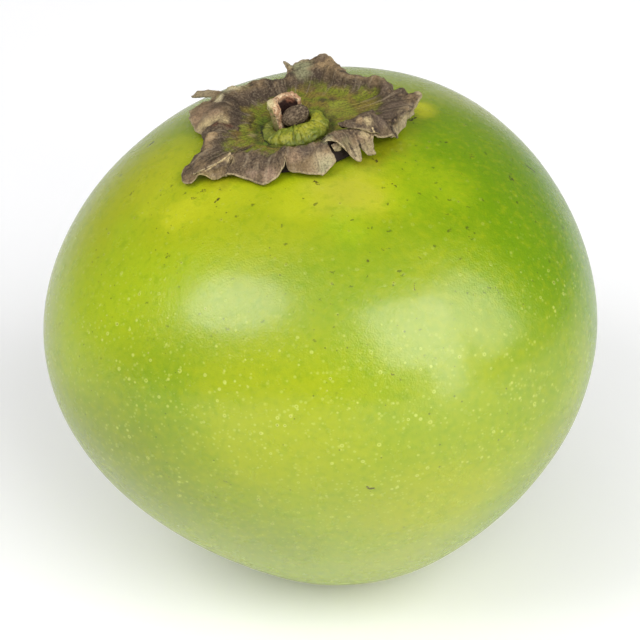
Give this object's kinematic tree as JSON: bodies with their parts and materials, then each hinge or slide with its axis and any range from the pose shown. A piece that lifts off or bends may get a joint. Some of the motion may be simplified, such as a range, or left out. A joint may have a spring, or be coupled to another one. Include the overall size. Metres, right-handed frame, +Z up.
{
  "type": "black sapote",
  "caption": "Whole ripe-green fruit, rounded and blunt-cornered, resting on its flattened base, with a dry wavy calyx and a broken stalk stub on top.",
  "frame": {"origin": "middle of the small flat spot the fruit rests on", "axes": "+Z up, out of the surface it rests on; +Y along the fruit's widest side, away from the front; the calyx end leans a little towards -X"},
  "size_m": [0.0977, 0.1015, 0.0985],
  "materials": {
    "skin": "smooth, waxy, semi-gloss fruit skin",
    "calyx": "dry, wrinkled, matt plant tissue, green at its middle",
    "collar": "puckered, satin green skin",
    "bark": "torn, matt bark",
    "stalk_wood": "rough, matt, weathered wood"
  },
  "bodies": {
    "root": {"fruit": "skin", "calyx": "calyx", "calyx_collar": "collar", "stem_sleeve": "bark", "stem_plug": "stalk_wood"}
  },
  "joints": []
}
